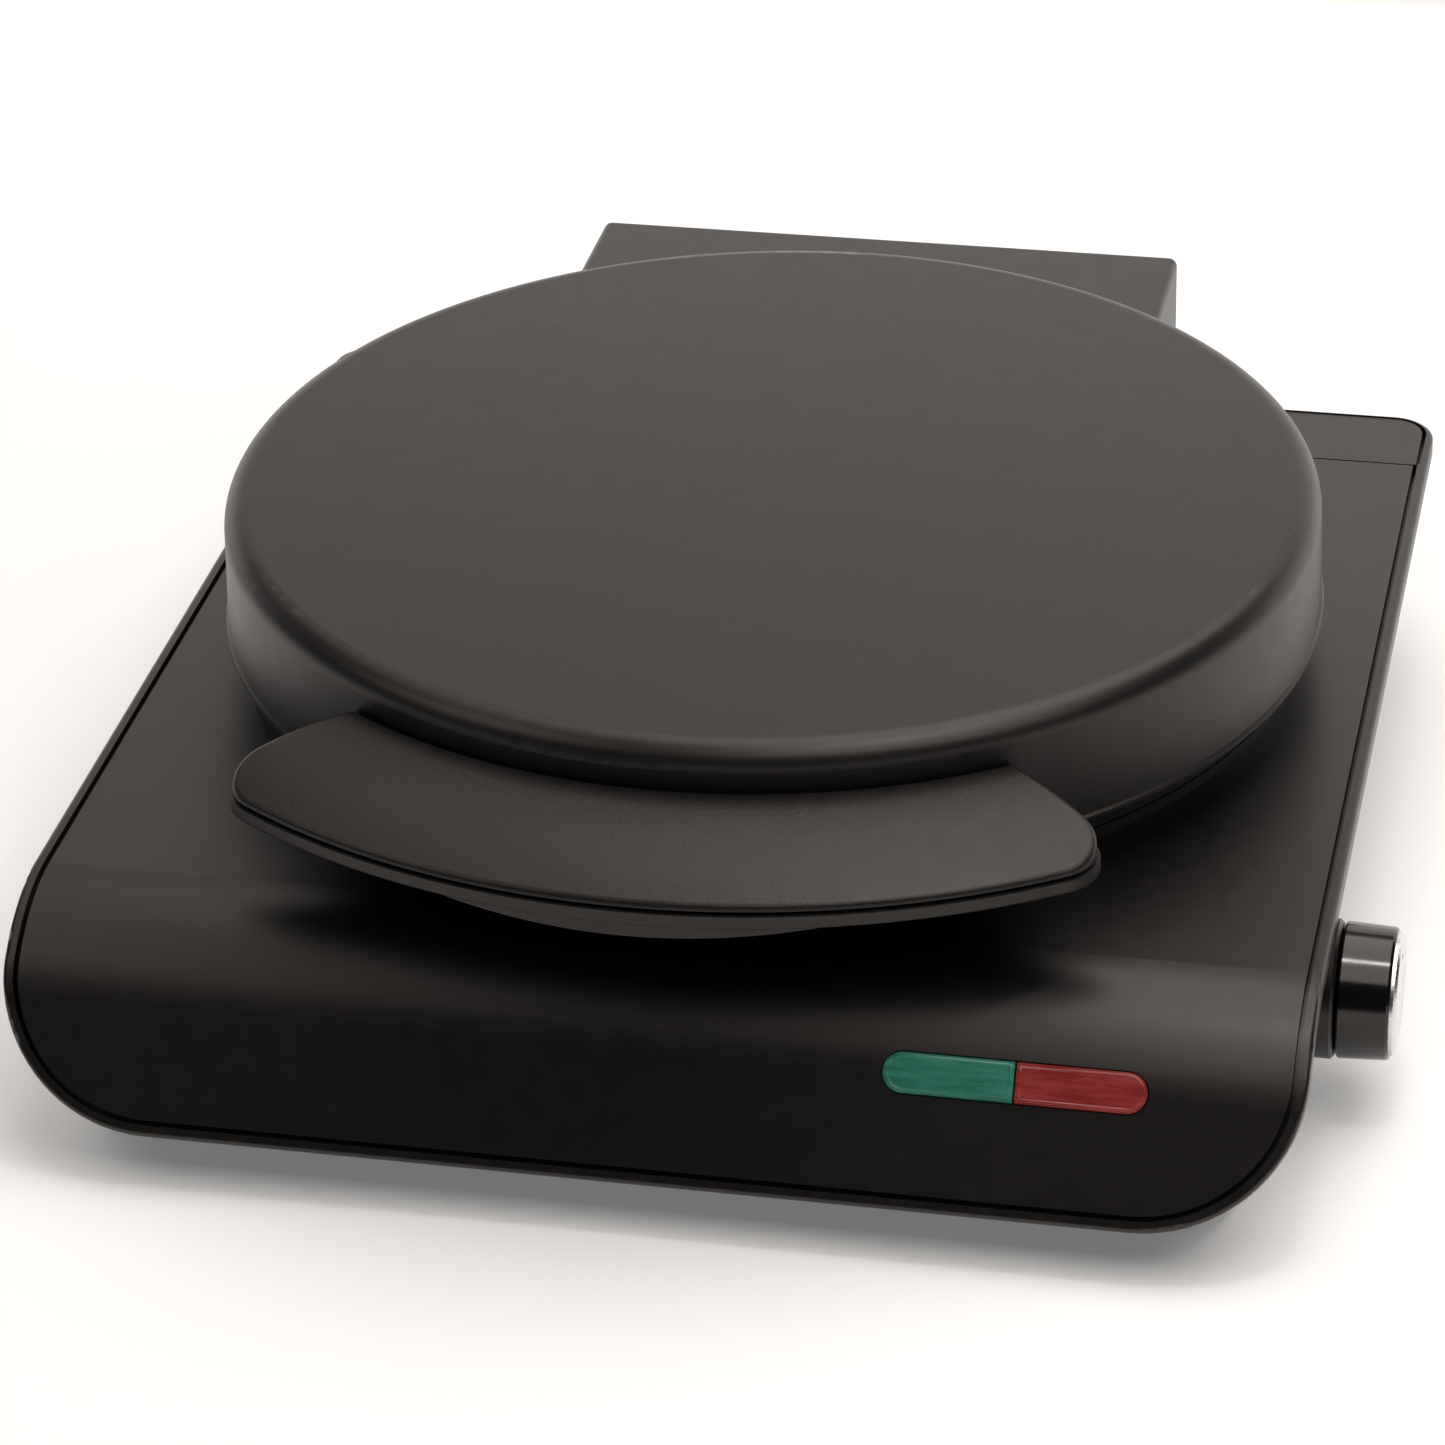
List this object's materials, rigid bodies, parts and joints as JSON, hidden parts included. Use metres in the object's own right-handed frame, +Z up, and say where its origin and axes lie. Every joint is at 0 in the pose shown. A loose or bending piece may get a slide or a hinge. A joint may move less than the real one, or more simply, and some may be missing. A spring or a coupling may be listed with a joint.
{
  "type": "donut maker",
  "caption": "Round-lidded electric plate cooker with a crescent grip on the lid, a rear hinge block, a side temperature knob and ring-shaped wells in both plates.",
  "frame": {"origin": "on the table, under the middle of the whole closed appliance's box, knob and hinge block included", "axes": "+Z up, +Y towards the hinge and the back, +X towards the knob side"},
  "size_m": [0.2815, 0.3032, 0.0915],
  "materials": {
    "lid_plastic": "fine satin moulded texture, black",
    "deck_plastic": "satin black, very fine texture",
    "rim_plastic": "semi-matt black moulding",
    "housing_plastic": "matt black moulding",
    "grip_plastic": "spark-eroded grain, black",
    "nonstick": "non-stick coated cast aluminium",
    "heater_tube": "heat-dulled steel tube",
    "sheet_metal": "plain rolled sheet",
    "bracket_steel": "zinc plated",
    "pin_steel": "ground steel",
    "screw_steel": "zinc plated",
    "screw_black": "black phosphated steel",
    "bush_plastic": "natural acetal",
    "rubber_black": "matt soft rubber",
    "knob_gloss": "polished black",
    "cap_metal": "satin, spun",
    "green_clear": "translucent ribbed green",
    "red_clear": "translucent ribbed red",
    "lamp_glass": "small neon lamp",
    "terminal_white": "heat-proof moulding",
    "thermostat_ceramic": "ceramic"
  },
  "bodies": {
    "base": {"rim_frame": "rim_plastic", "deck_panel": "deck_plastic", "rear_cover": "deck_plastic", "lower_housing": "housing_plastic", "bottom_cover": "housing_plastic", "bottom_screws": "screw_black", "rubber_feet": "rubber_black", "lower_plate": "nonstick", "lower_element": "heater_tube", "lower_reflector": "sheet_metal", "lower_plate_screws": "screw_steel", "collar_screws": "screw_steel", "thermal_fuse": "sheet_metal", "hinge_bracket_right": "bracket_steel", "hinge_bracket_left": "bracket_steel", "hinge_pin_right": "pin_steel", "hinge_pin_left": "pin_steel", "bracket_screws": "screw_black", "cable_gland": "rubber_black", "terminal_block": "terminal_white", "thermostat_body": "thermostat_ceramic", "thermostat_nut": "screw_steel", "thermostat_bracket": "bracket_steel", "knob_collar": "rim_plastic", "green_lens": "green_clear", "red_lens": "red_clear", "lamp_holder": "housing_plastic", "green_lamp": "lamp_glass", "red_lamp": "lamp_glass"},
    "lid": {"lid_shell": "lid_plastic", "upper_plate": "nonstick", "upper_element": "heater_tube", "upper_reflector": "sheet_metal", "upper_plate_screws": "screw_steel", "lid_screws": "screw_steel", "hinge_block": "lid_plastic", "hinge_bushes": "bush_plastic", "block_screws": "screw_steel", "handle_top": "grip_plastic", "handle_bottom": "grip_plastic", "handle_screws": "screw_black"},
    "knob": {"thermostat_shaft": "pin_steel", "knob": "knob_gloss", "knob_cap": "cap_metal"}
  },
  "joints": [
    {"name": "lid_hinge", "type": "hinge", "parent": "base", "child": "lid", "pos_m": [-0.0065, 0.1383, 0.064], "axis": [-1, 0, 0], "range_deg": [0, 100]},
    {"name": "knob_turn", "type": "hinge", "parent": "base", "child": "knob", "pos_m": [0.1345, -0.0775, 0.026], "axis": [-1, 0, 0], "range_deg": [0, 270]}
  ]
}
